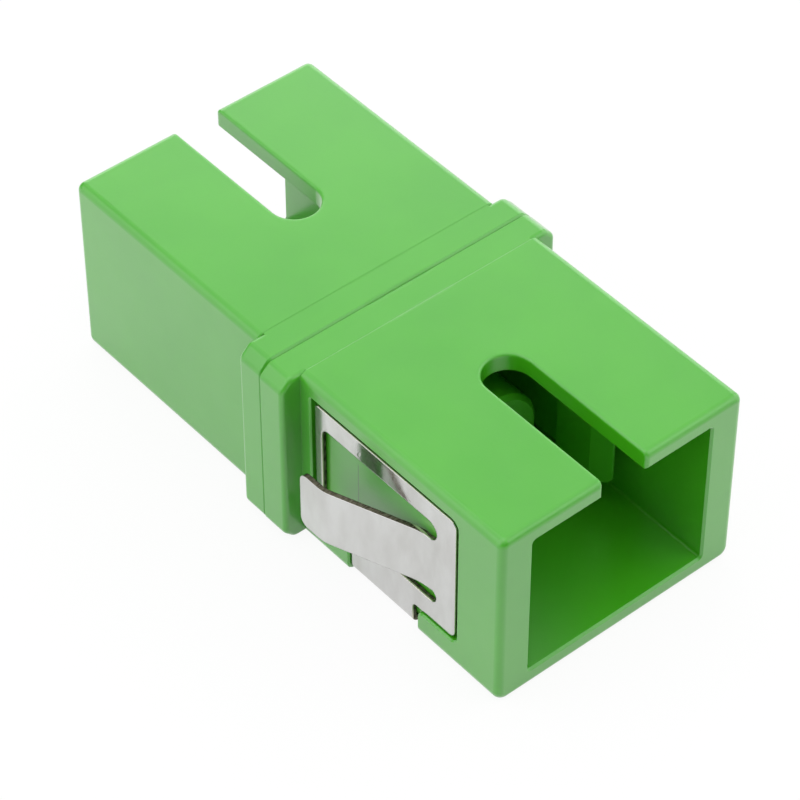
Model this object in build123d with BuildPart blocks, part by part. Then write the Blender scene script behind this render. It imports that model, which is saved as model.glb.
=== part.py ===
from build123d import *

import os
from math import cos, radians

# A simplex fibre optic adapter for square push-pull plugs with 2.5 mm ferrules.
# Millimetres, +Z up. The origin is the optical centre: the point on the ferrules' common axis where
# they meet, in the plane of the weld between the two housing halves. The plugs go in along Y, and
# the half with the panel clip faces -Y.

# Moulded body: outside, walls and edge rounds
body_width = 12.8
body_height = 9.35
body_length = 27.4
side_wall = 1.65
cover_wall = 0.875
top_edge_round = 0.36
bottom_edge_round = 0.5
end_edge_round = 0.32
cavity_corner_round = 0.15
mouth_break = 0.1

# Panel collar, half of it on each housing half
collar_width = 14.75
collar_thickness = 2.84
front_collar_step = 0.06
rear_collar_step = 0.02
collar_step_break = 0.05
collar_chamfer = 0.5
collar_corner_round = 0.4
collar_edge_round = 0.22
seam_gap = 0.05
seam_depth = 0.2
seam_edge_break = 0.1
weld_mismatch = 0.05

# Key slot in the top wall, open to the mouth
key_slot_width = 2.3
key_slot_length = 8.0
key_slot_mouth_round = 0.25
key_slot_mouth_angle = 30
key_slot_edge_round = 0.12

# Locating pegs and sockets in the weld face
peg_diameter = 0.9
peg_length = 0.6
peg_height = 2.8
peg_clearance = 0.05

# Split sleeve for the ferrules
sleeve_bore = 2.495
sleeve_wall = 0.35
sleeve_length = 11.4
sleeve_slit = 0.5
sleeve_end_chamfer = 0.1

# Latch holder: flange plate, sleeve tube and two hooked arms
flange_thickness = 0.9
flange_side_ledge = 0.85
flange_cover_ledge = 0.15
flange_clearance = 0.05
flange_corner_round = 0.4
sleeve_clearance = 0.05
tube_wall = 0.75
tube_lip = 0.3
ferrule_entrance = 2.86
entrance_chamfer = 0.2
tube_end_chamfer = 0.2
arm_thickness = 0.7
arm_height = 4.4
arm_wall_gap = 0.43
arm_reach = 9.35
arm_tip_round = 0.45
arm_root_round = 0.3
hook_depth = 0.42
hook_lead = 0.95
hook_flat = 2.05
hook_back = 0.3
arm_tip_bevel = 0.6

# Panel clip, one folded sheet, and the recess and channel that it lies in
clip_sheet = 0.22
clip_float = 0.03
clip_sink = 0.12
clip_bend_radius = 0.25
clip_plate_length = 8.68
clip_web_width = 3.87
clip_web_offset = 2.2
clip_corner_round = 0.36
clip_rear_round = 0.15
window_top = 2.43
window_bottom = 2.17
window_rear_bar = 0.38
window_front_bar = 1.13
window_corner_round = 0.45
slot_end_top_round = 0.52
slot_end_bottom_round = 0.36
clip_notch_round = 0.28
tongue_top = 1.45
tongue_bottom = 1.5
tongue_rise = 1.65
tongue_root_run = 0.83
tongue_slope_run = 4.3
tongue_tip_run = 1.42
tongue_root_bend = 3.0
tongue_tip_bend = 1.6
tongue_corner_round = 0.42

recess_setback = 0.6
recess_top = 3.78
recess_bottom = 3.28
recess_corner_round = 0.4
recess_rear_round = 0.12
recess_rear_gap = 0.18
recess_front_gap = 0.23
recess_top_gap = 0.31
recess_bottom_gap = 0.06
channel_rear_gap = 0.05
channel_front_gap = 0.43
channel_corner_round = 0.4
channel_rim_round = 0.35
channel_rim_angle = 30
recess_rim_break = 0.07

# Sizes that follow from the ones above
half_length = body_length / 2
half_collar = collar_thickness / 2
cavity_width = body_width - 2 * side_wall
cavity_height = body_height - 2 * cover_wall

flange_width = cavity_width + 2 * flange_side_ledge
flange_height = cavity_height + 2 * flange_cover_ledge
pocket_width = flange_width + 2 * flange_clearance
pocket_height = flange_height + 2 * flange_clearance
peg_offset = (pocket_width + collar_width) / 4

sleeve_radius = sleeve_bore / 2 + sleeve_wall
tube_bore_radius = sleeve_radius + sleeve_clearance
tube_bore_depth = sleeve_length / 2 + sleeve_clearance
tube_radius = tube_bore_radius + tube_wall
tube_reach = tube_bore_depth + tube_lip

arm_outside = cavity_width / 2 - arm_wall_gap
arm_inside = arm_outside - arm_thickness
hook_crest = arm_inside - hook_depth

recess_depth = clip_sink + clip_sheet + clip_float
clip_outer_bend = clip_bend_radius + clip_sheet
recess_rear = half_collar + recess_setback
recess_length = recess_rear_gap + clip_plate_length + recess_front_gap
clip_outside = body_width / 2 - clip_sink
clip_middle = clip_outside - clip_sheet / 2
clip_base = body_height / 2 - clip_sink
clip_plate_top = recess_top - recess_top_gap
clip_plate_bottom = recess_bottom - recess_bottom_gap
plate_rear = recess_rear + recess_rear_gap
plate_front = plate_rear + clip_plate_length
web_rear = plate_rear + clip_web_offset
channel_rear = web_rear - channel_rear_gap
channel_length = channel_rear_gap + clip_web_width + channel_front_gap
window_rear = plate_rear + window_rear_bar
window_front = plate_front - window_front_bar

# How near a feature has to lie to its nominal place to be picked by it
near = 0.01


def collar_half(width, step):
    """Half of the panel collar, from the weld face forward. Its top and bottom lie a step below the body's."""
    height = body_height - 2 * step
    with BuildPart() as collar:
        with BuildSketch(Plane.XZ) as outline:
            Rectangle(width, height)
            chamfer(outline.vertices(), collar_chamfer)
            fillet(outline.vertices(), collar_corner_round)
        extrude(amount=half_collar)
        fillet(collar.faces().sort_by(Axis.Y)[0].edges(), collar_edge_round)

        # The front edge is rounded only where it stands out beyond the body's sides
        with BuildSketch(Plane.XZ.offset(half_collar / 2)):
            Rectangle(body_width - 2 * top_edge_round, height)
        extrude(amount=half_collar / 2)
    return collar.part


def housing_half(collar):
    """The moulding that both halves share, from the weld face forward."""
    with BuildPart() as half:
        with BuildSketch(Plane.XZ.offset(half_collar - collar_step_break)) as body_outline:
            Rectangle(body_width, body_height)
            fillet(body_outline.vertices().group_by(Axis.Y)[-1], top_edge_round)
            fillet(body_outline.vertices().group_by(Axis.Y)[0], bottom_edge_round)
        extrude(amount=half_length - half_collar + collar_step_break)
        chamfer(half.faces().sort_by(Axis.Y)[-1].edges().filter_by(Axis.X), collar_step_break)
        fillet(half.faces().sort_by(Axis.Y)[0].edges(), end_edge_round)
        add(collar)

        # Plug cavity, and the pocket that traps the latch holder's flange plate
        with BuildSketch(Plane.XZ) as cavity:
            Rectangle(cavity_width, cavity_height)
            fillet(cavity.vertices(), cavity_corner_round)
        extrude(amount=half_length, mode=Mode.SUBTRACT)
        chamfer(half.faces().sort_by(Axis.Y)[0].inner_wires()[0].edges(), mouth_break)
        with BuildSketch(Plane.XZ) as pocket:
            Rectangle(pocket_width, pocket_height)
            fillet(pocket.vertices(), flange_corner_round)
        extrude(amount=flange_thickness, mode=Mode.SUBTRACT)

        # Key slot: a round inner end, straight sides, and corners at the mouth that are rounded until
        # they meet the end face at an angle
        slot_end = half_length - key_slot_length + key_slot_width / 2
        mouth_y = -half_length - key_slot_mouth_round * (1 - cos(radians(key_slot_mouth_angle)))
        with BuildSketch(Plane.XY) as key_slot:
            with Locations((0, -slot_end)):
                Circle(key_slot_width / 2)
                Rectangle(key_slot_width, -mouth_y - slot_end, align=(Align.CENTER, Align.MAX))
            with Locations((0, mouth_y)):
                Rectangle(3 * key_slot_width, key_slot_width, align=(Align.CENTER, Align.MAX))
            mouth = key_slot.vertices().sort_by_distance((0, mouth_y))[0:2]
            fillet(mouth, key_slot_mouth_round)
        extrude(amount=body_height, mode=Mode.SUBTRACT)
        slot_edges = (
            half.edges()
            .filter_by_position(Axis.Z, body_height / 2 - near, body_height / 2)
            .filter_by_position(Axis.X, -key_slot_width / 2 - near, key_slot_width / 2 + near)
            .filter_by_position(Axis.Y, -half_length, key_slot_length - half_length + near)
        )
        fillet(slot_edges, key_slot_edge_round)

        # Pegs on one side of the weld face and sockets on the other, so that two halves key together
        with BuildSketch(Plane.XZ):
            with Locations((peg_offset, peg_height), (peg_offset, -peg_height)):
                Circle(peg_diameter / 2)
        extrude(amount=-peg_length)
        with BuildSketch(Plane.XZ):
            with Locations((-peg_offset, peg_height), (-peg_offset, -peg_height)):
                Circle(peg_diameter / 2 + peg_clearance)
        extrude(amount=peg_length + peg_clearance, mode=Mode.SUBTRACT)
    return half.part


# The front half's weld face is set back along its rim, which leaves a fine groove round the collar,
# and the rear half's rim is broken there
with BuildPart() as front_collar:
    add(collar_half(collar_width, front_collar_step))
    with BuildSketch(Plane.XZ) as groove:
        add(front_collar.faces().sort_by(Axis.Y)[-1])
        offset(amount=-seam_depth, mode=Mode.SUBTRACT)
    extrude(amount=seam_gap, mode=Mode.SUBTRACT)

with BuildPart() as rear_collar:
    add(collar_half(collar_width - 2 * weld_mismatch, rear_collar_step))
    chamfer(rear_collar.faces().sort_by(Axis.Y)[-1].edges(), seam_edge_break)

front_moulding = housing_half(front_collar.part)
rear_moulding = housing_half(rear_collar.part)

os.makedirs("parts", exist_ok=True)

# Front housing half, with the recess and channel for the panel clip
with BuildPart() as housing_front:
    add(front_moulding)

    # The recess in each side opens into a channel that runs down to the bottom
    for side in (-1, 1):
        with BuildSketch(Plane.YZ.offset(side * body_width / 2)) as recess:
            with Locations((-recess_rear, -recess_bottom)):
                Rectangle(recess_length, recess_top + recess_bottom, align=(Align.MAX, Align.MIN))
            with Locations((-channel_rear, -recess_bottom)):
                Rectangle(channel_length, body_height, align=(Align.MAX, Align.MAX))
            corners = recess.vertices().group_by(Axis.Y)[1:]
            fillet(corners[0].sort_by(Axis.X)[:-1] + corners[1].sort_by(Axis.X)[0], recess_corner_round)
            fillet(recess.vertices().group_by(Axis.X)[-1], recess_rear_round)
        extrude(amount=-side * recess_depth, mode=Mode.SUBTRACT)

    # Channel across the bottom. Its rim is rounded until it meets the bottom face at an angle, and the
    # body's own corners are rounded where the clip folds over them
    channel_middle = -channel_rear - channel_length / 2
    rim_z = -body_height / 2 - channel_rim_round * (1 - cos(radians(channel_rim_angle)))
    with BuildSketch(Plane.YZ) as channel:
        with Locations((channel_middle, rim_z)):
            Rectangle(channel_length, recess_depth - body_height / 2 - rim_z, align=(Align.CENTER, Align.MIN))
            Rectangle(2 * channel_length, recess_depth, align=(Align.CENTER, Align.MAX))
        fillet(channel.vertices().sort_by_distance((channel_middle, rim_z))[0:2], channel_rim_round)
    extrude(amount=body_width / 2, both=True, mode=Mode.SUBTRACT)
    floor_corners = (
        housing_front.edges()
        .filter_by(Axis.Y)
        .filter_by(lambda edge: abs(abs(edge.center().X) - body_width / 2 + recess_depth) < near)
        .filter_by(lambda edge: abs(edge.center().Z + body_height / 2 - recess_depth) < near)
    )
    fillet(floor_corners, channel_corner_round)

    # The recess's rim is broken all the way round, down to the rounded rim of the channel
    rim = housing_front.edges().filter_by_position(
        Axis.Y, -recess_rear - recess_length - near, -recess_rear + near
    )
    side_rim = rim.filter_by(lambda edge: abs(edge.center().X) > body_width / 2 - near).filter_by_position(
        Axis.Z, bottom_edge_round - body_height / 2 + near, recess_top + near
    )
    chamfer(side_rim, recess_rim_break)
housing_front.part.label = "housing_front"
export_step(housing_front.part, "parts/housing_front.step")

# Rear housing half: the same moulding turned round, with plain sides
with BuildPart() as housing_rear:
    with Locations(Rotation(0, 0, 180)):
        add(rear_moulding)
housing_rear.part.label = "housing_rear"
export_step(housing_rear.part, "parts/housing_rear.step")

# One latch arm: its hook faces the plug axis, and the sloped tip spreads the arm as a plug comes in
with BuildPart() as latch_arm:
    with BuildSketch(Plane.XY.offset(-arm_height / 2)):
        crest_y = -arm_reach + hook_lead
        with BuildLine():
            Polyline(
                (arm_inside, 0),
                (arm_inside, crest_y + hook_flat + hook_back),
                (hook_crest, crest_y + hook_flat),
                (hook_crest, crest_y),
                (arm_inside, -arm_reach),
                (arm_outside - arm_tip_bevel, -arm_reach),
                (arm_outside, -arm_reach + arm_tip_bevel),
                (arm_outside, 0),
                close=True,
            )
        make_face()
    extrude(amount=arm_height)
    with BuildSketch(Plane.YZ) as arm_side:
        Rectangle(arm_reach, arm_height, align=(Align.MAX, Align.CENTER))
        fillet(arm_side.vertices().group_by(Axis.X)[0], arm_tip_round)
    extrude(amount=cavity_width / 2, mode=Mode.INTERSECT)

# Front latch holder: flange plate, sleeve tube and the two arms, in one moulding
with BuildPart() as latch_holder_front:
    with BuildSketch(Plane.XZ) as flange_outline:
        Rectangle(flange_width, flange_height)
        fillet(flange_outline.vertices(), flange_corner_round)
    extrude(amount=flange_thickness)
    with BuildSketch(Plane.XZ):
        Circle(tube_radius)
    extrude(amount=tube_reach)
    tube_end = latch_holder_front.edges().filter_by(GeomType.CIRCLE).sort_by(Axis.Y)[0]
    chamfer(tube_end, tube_end_chamfer)
    add(latch_arm.part)
    mirror(latch_arm.part, about=Plane.YZ)

    arm_roots = (
        latch_holder_front.edges()
        .filter_by(Axis.Z)
        .filter_by(lambda edge: abs(edge.center().Y + flange_thickness) < near)
        .filter_by(lambda edge: abs(abs(edge.center().X) - arm_inside) < near)
    )
    fillet(arm_roots, arm_root_round)

    # The sleeve's seat is bored from the weld face, and the lip at the tube's end keeps the sleeve in
    with Locations(Plane.ZX):
        CounterBoreHole(ferrule_entrance / 2, tube_bore_radius, tube_bore_depth)
    entrance = latch_holder_front.faces().filter_by(Axis.Y).filter_by(
        lambda face: abs(face.center().Y + tube_reach) < near
    )
    chamfer(entrance.edges().sort_by(SortBy.RADIUS)[0], entrance_chamfer)
latch_holder_front.part.label = "latch_holder_front"
export_step(latch_holder_front.part, "parts/latch_holder_front.step")

# Rear latch holder: the same moulding turned round
with BuildPart() as latch_holder_rear:
    with Locations(Rotation(0, 0, 180)):
        add(latch_holder_front.part)
latch_holder_rear.part.label = "latch_holder_rear"
export_step(latch_holder_rear.part, "parts/latch_holder_rear.step")

# Split sleeve, slit along its top so that it grips both ferrules
with BuildPart() as split_sleeve:
    with BuildSketch(Plane.XZ):
        Circle(sleeve_radius)
        Circle(sleeve_bore / 2, mode=Mode.SUBTRACT)
        Rectangle(sleeve_slit, sleeve_radius, align=(Align.CENTER, Align.MIN), mode=Mode.SUBTRACT)
    extrude(amount=sleeve_length / 2, both=True)
    chamfer(split_sleeve.edges().filter_by(GeomType.CIRCLE), sleeve_end_chamfer)
split_sleeve.part.label = "split_sleeve"
export_step(split_sleeve.part, "parts/split_sleeve.step")

# One tongue of the panel clip: it leaves the plate at its front end, slopes out towards the collar,
# and ends in a straight tip that bears on the panel
with BuildPart() as tongue:
    bend_y = -window_front + tongue_root_run
    crest_y = bend_y + tongue_slope_run
    tip_y = crest_y + tongue_tip_run
    tip_x = clip_middle + tongue_rise
    with BuildSketch(Plane.XY.offset(-tongue_bottom)):
        with BuildLine():
            FilletPolyline(
                (clip_middle, -window_front - window_front_bar / 2),
                (clip_middle, bend_y),
                (tip_x, crest_y),
                (tip_x, tip_y),
                radius=(tongue_root_bend, tongue_tip_bend),
            )
        trace(line_width=clip_sheet)
    extrude(amount=tongue_top + tongue_bottom)
    with BuildSketch(Plane.YZ) as tongue_side:
        with Locations((tip_y, -tongue_bottom)):
            Rectangle(recess_length, tongue_top + tongue_bottom, align=(Align.MAX, Align.MIN))
        fillet(tongue_side.vertices().group_by(Axis.X)[-1], tongue_corner_round)
    extrude(amount=collar_width, mode=Mode.INTERSECT)

# One side of the clip: the plate, its window and the tongue lanced out of it
with BuildPart() as clip_side:
    with BuildSketch(Plane.YZ.offset(clip_outside)) as plate:
        with Locations((-plate_rear, -clip_plate_bottom)):
            Rectangle(clip_plate_length, clip_plate_top + clip_plate_bottom, align=(Align.MAX, Align.MIN))
        fillet(plate.vertices().group_by(Axis.X)[0], clip_corner_round)
        fillet(plate.vertices().group_by(Axis.X)[-1], clip_rear_round)
        with Locations((-web_rear, -clip_base + clip_outer_bend)):
            Rectangle(clip_web_width, clip_base - clip_outer_bend, align=(Align.MAX, Align.MIN))
        web_middle = -web_rear - clip_web_width / 2
        notches = plate.vertices().sort_by_distance((web_middle, -clip_plate_bottom))[0:2]
        fillet(notches, clip_notch_round)
    extrude(amount=-clip_sheet)
    with BuildSketch(Plane.YZ.offset(clip_outside)) as window:
        with Locations((-window_rear, -window_bottom)):
            Rectangle(
                window_front - window_rear - tongue_root_run / 2,
                window_top + window_bottom,
                align=(Align.MAX, Align.MIN),
            )
        fillet(window.vertices().group_by(Axis.X)[-1], window_corner_round)
    extrude(amount=-clip_sheet, mode=Mode.SUBTRACT)
    add(tongue.part)
    with BuildSketch(Plane.YZ.offset(clip_outside)):
        with Locations((-window_front + slot_end_top_round, window_top - slot_end_top_round)):
            Circle(slot_end_top_round)
        with Locations((-window_front + slot_end_bottom_round, slot_end_bottom_round - window_bottom)):
            Circle(slot_end_bottom_round)
    extrude(amount=-clip_sheet, mode=Mode.SUBTRACT)

# Panel clip: both sides and the web that joins them under the body, folded from one sheet
with BuildPart() as panel_clip:
    add(clip_side.part)
    mirror(clip_side.part, about=Plane.YZ)
    with BuildSketch(Plane.XZ.offset(web_rear)):
        web_z = -clip_base + clip_sheet / 2
        with BuildLine():
            FilletPolyline(
                (-clip_middle, -clip_plate_bottom),
                (-clip_middle, web_z),
                (clip_middle, web_z),
                (clip_middle, -clip_plate_bottom),
                radius=clip_bend_radius + clip_sheet / 2,
            )
        trace(line_width=clip_sheet)
    extrude(amount=clip_web_width)
panel_clip.part.label = "panel_clip"
export_step(panel_clip.part, "parts/panel_clip.step")
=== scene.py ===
import math

import bpy
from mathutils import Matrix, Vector


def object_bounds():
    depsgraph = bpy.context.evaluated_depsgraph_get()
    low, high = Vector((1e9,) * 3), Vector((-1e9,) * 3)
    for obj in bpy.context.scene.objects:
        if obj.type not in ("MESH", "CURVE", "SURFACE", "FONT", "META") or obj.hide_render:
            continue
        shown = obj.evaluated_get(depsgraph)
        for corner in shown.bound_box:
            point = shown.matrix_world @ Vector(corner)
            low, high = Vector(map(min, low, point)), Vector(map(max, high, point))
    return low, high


# A simplex fibre optic adapter: the finish of its plastic, steel and ceramic, a pale floor, soft
# studio light and a camera at the photograph's angle. Metres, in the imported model's own frame.

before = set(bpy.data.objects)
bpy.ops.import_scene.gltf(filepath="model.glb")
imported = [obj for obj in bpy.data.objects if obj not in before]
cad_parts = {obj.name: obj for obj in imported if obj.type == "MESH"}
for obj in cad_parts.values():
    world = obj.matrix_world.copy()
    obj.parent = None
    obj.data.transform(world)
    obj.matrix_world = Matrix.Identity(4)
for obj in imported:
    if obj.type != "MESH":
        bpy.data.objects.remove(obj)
cad_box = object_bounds()

MM = 0.001
EDGE_SAMPLES = 6

# The part of a noise's 0 to 1 that is stretched into a pattern: the narrower, the crisper
SOFT_BAND = (0.3, 0.7)
CRISP_BAND = (0.35, 0.65)
DENT_BAND = (0.30, 0.42)


def linear(red, green, blue):
    """A display colour, 0 to 255 a channel, as the linear colour that a shader takes."""
    channels = []
    for value in (red, green, blue):
        share = value / 255
        channels.append(share / 12.92 if share <= 0.04045 else ((share + 0.055) / 1.055) ** 2.4)
    return (*channels, 1.0)


def grey(level):
    """A neutral colour of that linear level."""
    return (level, level, level, 1.0)


class Shader:
    """A material or world under construction, with short calls to add and join nodes."""

    def __init__(self, owner):
        self.owner = owner
        owner.use_nodes = True
        self.tree = owner.node_tree
        self.tree.nodes.clear()

    def feed(self, socket, value):
        """Joins another node's socket to this socket, or sets it to a plain value."""
        if isinstance(value, bpy.types.NodeSocket):
            self.tree.links.new(value, socket)
        else:
            socket.default_value = value

    def node(self, kind, inputs=None, **settings):
        """Adds a node. inputs maps a socket's name or number to what feeds it."""
        added = self.tree.nodes.new(kind)
        for key, value in settings.items():
            setattr(added, key, value)
        for key, value in (inputs or {}).items():
            self.feed(added.inputs[key], value)
        return added

    def place(self):
        """The point being shaded, in the model's frame."""
        return self.node("ShaderNodeTexCoord").outputs["Object"]

    def facing(self):
        """The surface's direction, in the model's frame."""
        return self.node("ShaderNodeTexCoord").outputs["Normal"]

    def axes(self, vector):
        """A vector's X, Y and Z."""
        return self.node("ShaderNodeSeparateXYZ", {0: vector}).outputs

    def stretch(self, point, scale):
        """point scaled along each axis, so that a pattern can run longer one way."""
        return self.node("ShaderNodeMapping", {"Vector": point, "Scale": scale}).outputs["Vector"]

    def noise(self, point, size, detail=2.0, roughness=0.5):
        """Smooth noise from 0 to 1 whose blotches are about size metres across."""
        inputs = {"Vector": point, "Scale": 1 / size, "Detail": detail, "Roughness": roughness}
        return self.node("ShaderNodeTexNoise", inputs).outputs["Fac"]

    def math(self, operation, first, second=0.0):
        """Plain arithmetic on two numbers or sockets."""
        return self.node("ShaderNodeMath", {0: first, 1: second}, operation=operation).outputs[0]

    def span(self, value, low, high, to_low=0.0, to_high=1.0):
        """value mapped from low..high to to_low..to_high, and held there."""
        inputs = {
            "Value": value,
            "From Min": low,
            "From Max": high,
            "To Min": to_low,
            "To Max": to_high,
        }
        return self.node("ShaderNodeMapRange", inputs).outputs["Result"]

    def within(self, value, low, high, blur):
        """1 while value lies between low and high, falling to 0 over blur on either side."""
        over = self.span(value, low - blur, low)
        under = self.span(value, high, high + blur, 1.0, 0.0)
        return self.math("MULTIPLY", over, under)

    def mixed(self, kind, suffix, share, first, second):
        """A mix node of that kind. suffix ends the identifiers of the sockets that it uses."""
        mix = self.node("ShaderNodeMix", data_type=kind)
        feeds = {"Factor_Float": share, f"A_{suffix}": first, f"B_{suffix}": second}
        for socket in mix.inputs:
            if socket.identifier in feeds:
                self.feed(socket, feeds[socket.identifier])
        return next(s for s in mix.outputs if s.identifier == f"Result_{suffix}")

    def blend(self, share, first, second):
        """A colour: first where share is 0, second where it is 1."""
        return self.mixed("RGBA", "Color", share, first, second)

    def mix(self, share, first, second):
        """A number: first where share is 0, second where it is 1."""
        return self.mixed("FLOAT", "Float", share, first, second)

    def soft_edges(self, radius):
        """A surface normal that turns softly over every edge, as if rounded by radius metres."""
        bevel = self.node("ShaderNodeBevel", {"Radius": radius}, samples=EDGE_SAMPLES)
        return bevel.outputs["Normal"]

    def bump(self, height, depth, under=None):
        """A surface normal from height (0 to 1) that stands depth metres high, over another."""
        inputs = {"Height": height, "Distance": depth, "Strength": 1.0}
        if under is not None:
            inputs["Normal"] = under
        return self.node("ShaderNodeBump", inputs).outputs["Normal"]

    def finish(self, inputs):
        """Ends the material in a Principled shader with those inputs."""
        shader = self.node("ShaderNodeBsdfPrincipled", inputs)
        self.node("ShaderNodeOutputMaterial", {"Surface": shader.outputs["BSDF"]})
        return self.owner


def insert_line(make, point):
    """The hair line that a mould insert leaves down the floor of the clip's recess."""
    line_front, line_rear, line_blur = -4.62 * MM, -4.59 * MM, 0.02 * MM
    line_foot, line_head, end_blur = -1.0 * MM, 1.6 * MM, 0.2 * MM
    floor_inside, floor_outside, floor_blur = 5.98 * MM, 6.08 * MM, 0.01 * MM
    x, y, z = make.axes(point)
    line = make.within(y, line_front, line_rear, line_blur)
    length = make.within(z, line_foot, line_head, end_blur)
    floor = make.within(make.math("ABSOLUTE", x), floor_inside, floor_outside, floor_blur)
    return make.math("MULTIPLY", make.math("MULTIPLY", line, length), floor)


def plastic(name, light, deep):
    """Injection-moulded plastic, a little translucent: faint flow blotches, a fine spark-eroded
    grain and a soft sheen. Its edges turn softly, most of all at the key slots' flared rims.
    """
    flow_size, sheen_size, wave_size, grain_size = 5 * MM, 1.5 * MM, 2.5 * MM, 0.11 * MM
    wave_depth, grain_depth = 0.012 * MM, 0.003 * MM
    smooth, matt = 0.28, 0.34
    line_color, line_share = linear(22, 84, 12), 0.7
    slot_reach, slot_blur = 1.5 * MM, 0.5 * MM
    top_starts, top_is_full = 3.9 * MM, 4.3 * MM
    edge_round, top_round, slot_round = 0.04 * MM, 0.06 * MM, 0.20 * MM

    make = Shader(bpy.data.materials.new(name))
    point = make.place()
    flow = make.span(make.noise(point, flow_size, detail=4.0), *CRISP_BAND)
    color = make.blend(flow, deep, light)
    line = make.math("MULTIPLY", insert_line(make, point), line_share)
    color = make.blend(line, color, line_color)

    across, _, height = make.axes(point)
    by_slot = make.within(make.math("ABSOLUTE", across), 0.0, slot_reach, slot_blur)
    rim = make.mix(by_slot, top_round, slot_round)
    at_top = make.span(height, top_starts, top_is_full)
    edges = make.soft_edges(make.mix(at_top, edge_round, rim))
    waves = make.bump(make.noise(point, wave_size), wave_depth, under=edges)
    grain = make.noise(point, grain_size, detail=3.0, roughness=0.6)
    return make.finish({
        "Base Color": color,
        "Roughness": make.span(make.noise(point, sheen_size), *SOFT_BAND, smooth, matt),
        "IOR": 1.57,
        "Subsurface Weight": 0.3,
        "Subsurface Radius": (0.5, 1.0, 0.2),
        "Subsurface Scale": 0.4 * MM,
        "Coat Weight": 1.0,
        "Coat Roughness": 0.3,
        "Coat IOR": 1.5,
        "Normal": make.bump(grain, grain_depth, under=waves),
    })


def steel(name):
    """Cold-rolled stainless strip: bright faces with faint rolling lines and a few small dents.
    Its sheared edges are dull and painted dark for the shade that falls on them, apart from a
    bright band beside the outer face that is partly real burnish and partly a painted highlight
    where the edge catches the light.
    The strip's faces look along X on the plates, and along Z under the body.
    """
    line_size, cloud_size, dent_size, tear_size = 0.10 * MM, 0.9 * MM, 0.6 * MM, 0.06 * MM
    line_depth, dent_depth, edge_round = 0.0004 * MM, 0.004 * MM, 0.08 * MM
    smooth, matt, burnished_roughness, torn_roughness = 0.11, 0.16, 0.3, 0.55
    fold_top = -3.9 * MM
    face_ends, edge_starts = 0.80, 0.90
    band_inside, band_outside, band_blur = 6.22 * MM, 6.30 * MM, 0.03 * MM

    make = Shader(bpy.data.materials.new(name))
    point = make.place()
    lines = make.noise(make.stretch(point, (1.0, 1.0, 0.05)), line_size, detail=4.0)
    cloud = make.noise(make.stretch(point, (1.0, 1.0, 0.4)), cloud_size, detail=3.0)
    dents = make.noise(point, dent_size, detail=1.0)
    tears = make.noise(make.stretch(point, (0.2, 1.0, 0.2)), tear_size, detail=3.0)

    # The sheared edges look along Y everywhere, and along Z above the fold
    _, along_y, along_z = make.axes(make.facing())
    across, _, height = make.axes(point)
    above_fold = make.math("GREATER_THAN", height, fold_top)
    upright = make.math("MULTIPLY", make.math("ABSOLUTE", along_z), above_fold)
    turned = make.math("MAXIMUM", make.math("ABSOLUTE", along_y), upright)
    sheared = make.span(turned, face_ends, edge_starts)
    beside = make.math("ABSOLUTE", across)
    # A band beside the sheet's outer face: partly real burnish, partly a painted highlight where
    # the cut edge catches the light
    burnish_and_highlight = make.within(beside, band_inside, band_outside, band_blur)

    cloudy = make.span(cloud, *SOFT_BAND)
    sheet = make.blend(cloudy, linear(200, 199, 197), linear(213, 213, 212))
    torn = make.span(tears, *CRISP_BAND)
    # The cut edges' colour: dull torn metal, with painted shade darkening it where the cut edges
    # lie in shadow
    burr_and_shade = make.blend(torn, linear(74, 69, 58), linear(138, 131, 116))
    edge = make.blend(burnish_and_highlight, burr_and_shade, linear(222, 216, 200))
    polish = make.span(lines, *SOFT_BAND, smooth, matt)
    dull = make.mix(burnish_and_highlight, torn_roughness, burnished_roughness)
    rolled = make.bump(lines, line_depth, under=make.soft_edges(edge_round))
    return make.finish({
        "Base Color": make.blend(sheared, sheet, edge),
        "Metallic": 1.0,
        "Roughness": make.mix(sheared, polish, dull),
        "Normal": make.bump(make.span(dents, *DENT_BAND), dent_depth, under=rolled),
    })


def ceramic(name):
    """Ground and polished zirconia, off-white."""
    cloud_size, ground_size, ground_depth = 1.2 * MM, 0.08 * MM, 0.0008 * MM
    smooth, matt = 0.14, 0.24
    make = Shader(bpy.data.materials.new(name))
    point = make.place()
    cloud = make.noise(point, cloud_size)
    ground = make.noise(make.stretch(point, (1.0, 0.05, 1.0)), ground_size)
    return make.finish({
        "Base Color": make.blend(cloud, linear(228, 226, 219), linear(240, 239, 234)),
        "Roughness": make.span(ground, *SOFT_BAND, smooth, matt),
        "IOR": 1.9,
        "Normal": make.bump(ground, ground_depth),
    })


def dress(node, material):
    """Gives a node's mesh that material alone."""
    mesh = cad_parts[node].data
    mesh.materials.clear()
    mesh.materials.append(material)


def build_materials():
    """One material for each of the record's slots."""
    housing = plastic("housing_plastic", linear(70, 178, 22), linear(64, 172, 17))
    holder = plastic("holder_plastic", linear(66, 170, 20), linear(58, 163, 15))
    for node in ("housing_front", "housing_rear"):
        dress(node, housing)
    for node in ("latch_holder_front", "latch_holder_rear"):
        dress(node, holder)
    dress("panel_clip", steel("clip_steel"))
    dress("split_sleeve", ceramic("sleeve_ceramic"))


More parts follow.
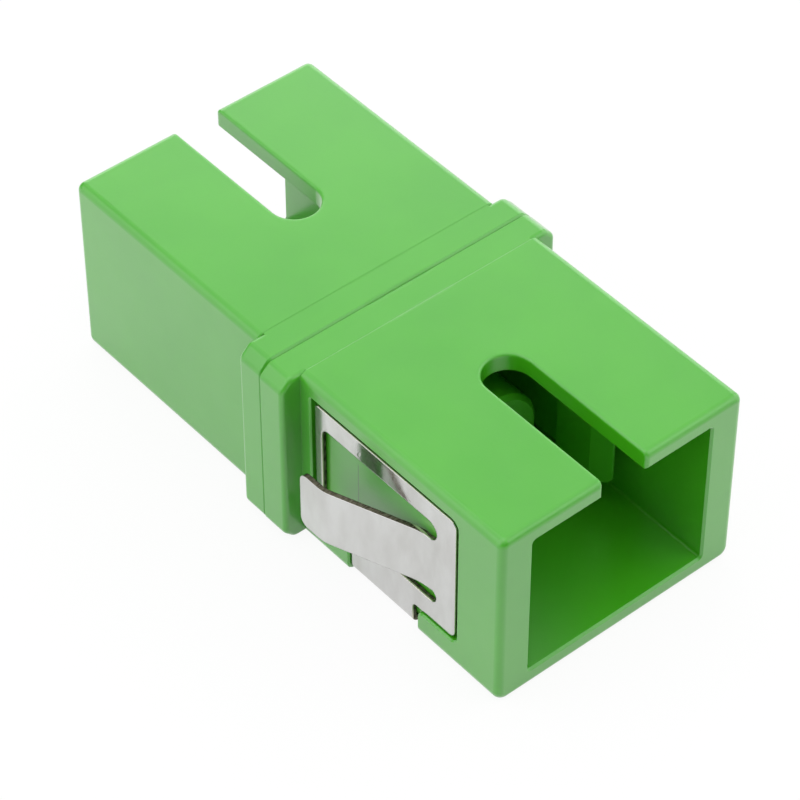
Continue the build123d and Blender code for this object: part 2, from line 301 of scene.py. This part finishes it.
def build_floor():
    """A pale floor that shows white to the camera and to reflections, and keeps a soft shadow."""
    half = 0.6
    seen_glow, mirrored_glow = 0.92, 0.6
    lighting_tone, seen_tone = grey(0.62), grey(0.97)

    height = cad_box[0].z
    corners = [(x * half, y * half, height) for x, y in ((-1, -1), (1, -1), (1, 1), (-1, 1))]
    mesh = bpy.data.meshes.new("floor")
    mesh.from_pydata(corners, [], [(0, 1, 2, 3)])
    floor = bpy.data.objects.new("floor", mesh)
    bpy.context.scene.collection.objects.link(floor)

    make = Shader(bpy.data.materials.new("floor_paper"))
    path = make.node("ShaderNodeLightPath").outputs
    seen = make.math("MAXIMUM", path["Is Camera Ray"], path["Is Transmission Ray"])
    glow = make.math("MULTIPLY", seen, seen_glow)
    mirrored = make.math("MULTIPLY", path["Is Glossy Ray"], mirrored_glow)
    share = make.math("MAXIMUM", glow, mirrored)
    tone = make.blend(make.math("GREATER_THAN", share, 0.0), lighting_tone, seen_tone)
    paper = make.node("ShaderNodeBsdfDiffuse", {"Color": tone}).outputs["BSDF"]
    white = make.node("ShaderNodeEmission", {"Color": grey(1.0), "Strength": 1.0})
    both = make.node("ShaderNodeMixShader", {0: share, 1: paper, 2: white.outputs["Emission"]})
    make.node("ShaderNodeOutputMaterial", {"Surface": both.outputs["Shader"]})
    mesh.materials.append(make.owner)


def build_world():
    """A pale world, brighter overhead, that shows plain white to the camera and through glass."""
    rise_starts, straight_up = 0.10, 1.0
    dim, bright = 0.03, 0.93
    make = Shader(bpy.data.worlds.new("studio"))
    path = make.node("ShaderNodeLightPath").outputs
    seen = make.math("MAXIMUM", path["Is Camera Ray"], path["Is Transmission Ray"])
    toward = make.axes(make.node("ShaderNodeTexCoord").outputs["Generated"])
    level = make.span(toward["Z"], rise_starts, straight_up, dim, bright)
    ambient = make.node("ShaderNodeBackground", {"Color": grey(1.0), "Strength": level})
    white = make.node("ShaderNodeBackground", {"Color": grey(1.0), "Strength": 1.0})
    ends = {0: seen, 1: ambient.outputs["Background"], 2: white.outputs["Background"]}
    both = make.node("ShaderNodeMixShader", ends)
    make.node("ShaderNodeOutputWorld", {"Surface": both.outputs["Shader"]})
    bpy.context.scene.world = make.owner


def build_lamps():
    """Broad square softboxes above, behind and on both sides, each turned to the part."""
    softboxes = (
        # Name, place, side of the square, power in watts
        ("overhead", (-0.02, 0.03, 0.310), 0.30, 0.22),
        ("back", (0.213, 0.255, 0.082), 0.32, 0.54),
        ("left", (-0.292, 0.102, 0.141), 0.40, 0.62),
        ("right", (0.299, -0.136, 0.088), 0.50, 1.06),
    )
    for name, place, side, power in softboxes:
        lamp = bpy.data.lights.new(name, "AREA")
        lamp.shape = "SQUARE"
        lamp.size = side
        lamp.energy = power
        box = bpy.data.objects.new(name, lamp)
        box.location = place
        box.rotation_euler = (-Vector(place)).to_track_quat("-Z", "Y").to_euler()
        bpy.context.scene.collection.objects.link(box)


def build_camera():
    """The photograph's view: a long lens, looking down at 45 degrees past the clip's corner."""
    sensor = 36.0
    photo_side = 800
    focal_pixels = 3529.9
    place = Vector((-68.296, -81.044, 103.724)) * MM
    azimuth = math.radians(-40.14)
    elevation = math.radians(44.93)
    level = math.cos(elevation)
    look = Vector((-level * math.sin(azimuth), level * math.cos(azimuth), -math.sin(elevation)))
    data = bpy.data.cameras.new("camera")
    data.sensor_fit = "HORIZONTAL"
    data.sensor_width = sensor
    data.lens = sensor * focal_pixels / photo_side
    data.clip_start = 0.01
    data.clip_end = 10.0
    camera = bpy.data.objects.new("camera", data)
    camera.location = place
    camera.rotation_euler = look.to_track_quat("-Z", "Y").to_euler()
    bpy.context.scene.collection.objects.link(camera)
    bpy.context.scene.camera = camera


build_materials()
build_floor()
build_world()
build_lamps()
build_camera()

bpy.context.scene.view_settings.view_transform = "Standard"
